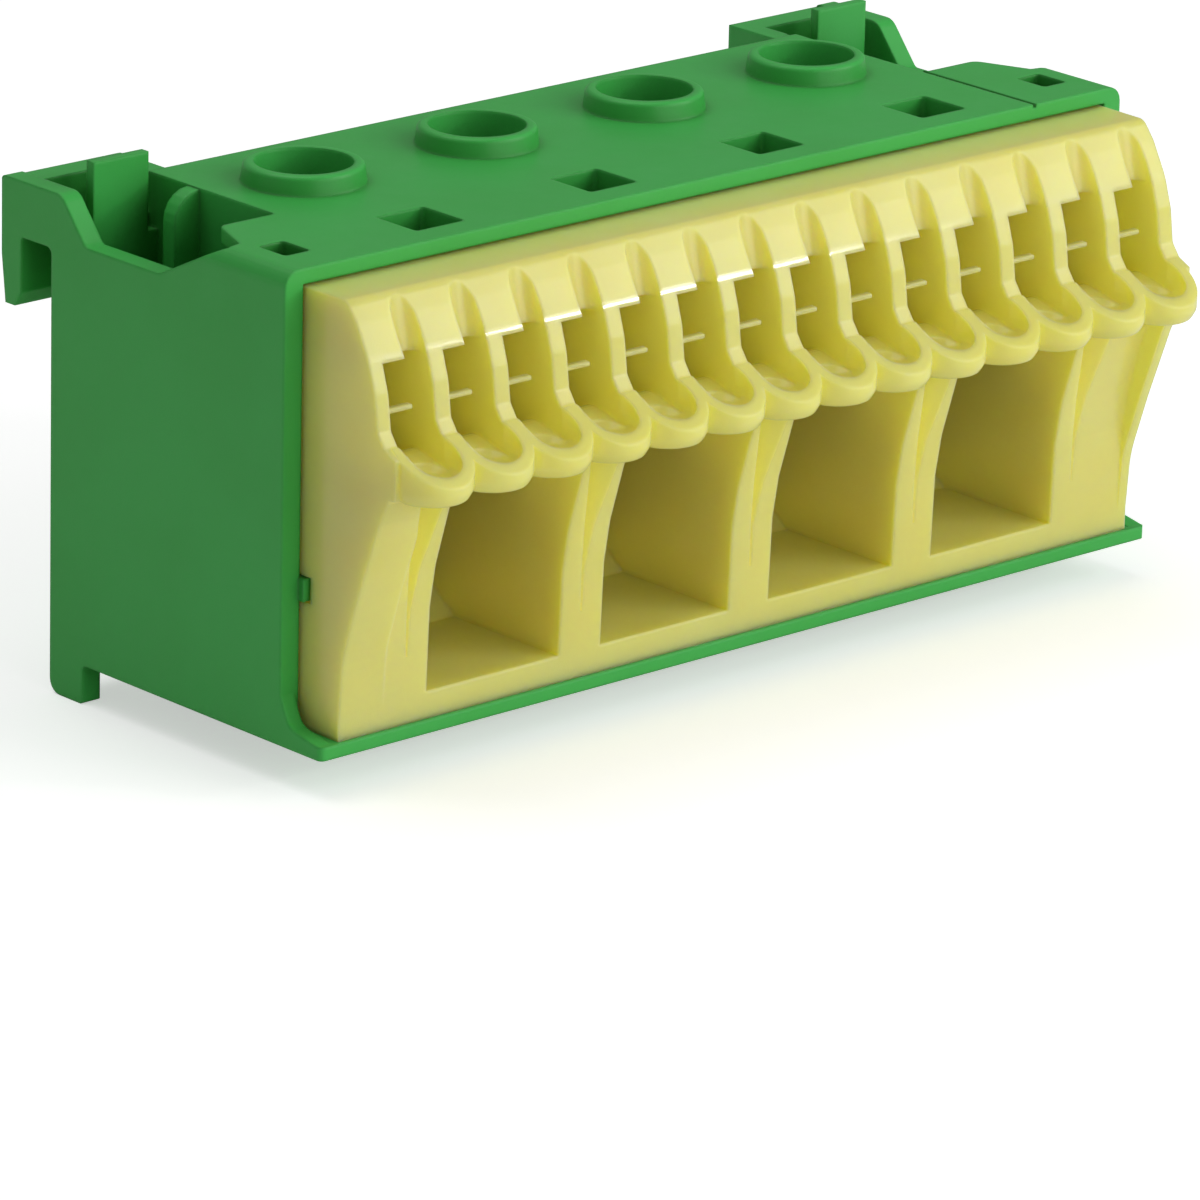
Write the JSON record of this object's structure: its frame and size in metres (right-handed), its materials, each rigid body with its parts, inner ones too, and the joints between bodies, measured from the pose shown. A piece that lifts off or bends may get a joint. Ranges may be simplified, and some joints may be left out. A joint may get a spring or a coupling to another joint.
{
  "type": "earth terminal bar",
  "caption": "Moulded earth terminal bar for a distribution board, with push-in ports over large screw-clamp bays and rail hooks behind.",
  "frame": {"origin": "middle of the part's box, on its lowest face", "axes": "+X along the bar, -Y towards the wiring side, +Z towards the screw side"},
  "size_m": [0.0746, 0.0404, 0.0359],
  "materials": {
    "green_plastic": "satin moulded plastic",
    "yellow_plastic": "satin moulded plastic, slightly translucent",
    "bar_brass": "plain",
    "cage_steel": "zinc plated",
    "screw_steel": "zinc plated",
    "spring_steel": "bright strip"
  },
  "bodies": {
    "body": {"housing": "green_plastic", "wire_guide": "yellow_plastic", "earth_bar": "bar_brass", "spring_clip_1": "spring_steel", "spring_clip_2": "spring_steel", "spring_clip_3": "spring_steel", "spring_clip_4": "spring_steel", "spring_clip_5": "spring_steel", "spring_clip_6": "spring_steel", "spring_clip_7": "spring_steel", "spring_clip_8": "spring_steel", "spring_clip_9": "spring_steel", "spring_clip_10": "spring_steel", "spring_clip_11": "spring_steel", "spring_clip_12": "spring_steel", "spring_clip_13": "spring_steel", "spring_clip_14": "spring_steel"},
    "screw_1": {"clamp_screw_1": "screw_steel"},
    "screw_2": {"clamp_screw_2": "screw_steel"},
    "screw_3": {"clamp_screw_3": "screw_steel"},
    "screw_4": {"clamp_screw_4": "screw_steel"},
    "cage_1": {"clamp_cage_1": "cage_steel"},
    "cage_2": {"clamp_cage_2": "cage_steel"},
    "cage_3": {"clamp_cage_3": "cage_steel"},
    "cage_4": {"clamp_cage_4": "cage_steel"}
  },
  "joints": [
    {"name": "screw_turn_1", "type": "hinge", "parent": "body", "child": "screw_1", "pos_m": [-0.0225, 0.00715, 0.0287], "axis": [0, 0, -1], "range_deg": [0, 3331]},
    {"name": "cage_lift_1", "type": "slide", "parent": "body", "child": "cage_1", "axis": [0, 0, 1], "range_m": [0, 0.0074]},
    {"name": "screw_turn_2", "type": "hinge", "parent": "body", "child": "screw_2", "pos_m": [-0.0075, 0.00715, 0.0287], "axis": [0, 0, -1], "range_deg": [0, 3331]},
    {"name": "cage_lift_2", "type": "slide", "parent": "body", "child": "cage_2", "axis": [0, 0, 1], "range_m": [0, 0.0074]},
    {"name": "screw_turn_3", "type": "hinge", "parent": "body", "child": "screw_3", "pos_m": [0.0075, 0.00715, 0.0287], "axis": [0, 0, -1], "range_deg": [0, 3331]},
    {"name": "cage_lift_3", "type": "slide", "parent": "body", "child": "cage_3", "axis": [0, 0, 1], "range_m": [0, 0.0074]},
    {"name": "screw_turn_4", "type": "hinge", "parent": "body", "child": "screw_4", "pos_m": [0.0225, 0.00715, 0.0287], "axis": [0, 0, -1], "range_deg": [0, 3331]},
    {"name": "cage_lift_4", "type": "slide", "parent": "body", "child": "cage_4", "axis": [0, 0, 1], "range_m": [0, 0.0074]}
  ],
  "couplings": [
    {"joint": "screw_turn_1", "follows": "cage_lift_1", "rad_per_m": 7854},
    {"joint": "screw_turn_2", "follows": "cage_lift_2", "rad_per_m": 7854},
    {"joint": "screw_turn_3", "follows": "cage_lift_3", "rad_per_m": 7854},
    {"joint": "screw_turn_4", "follows": "cage_lift_4", "rad_per_m": 7854}
  ]
}
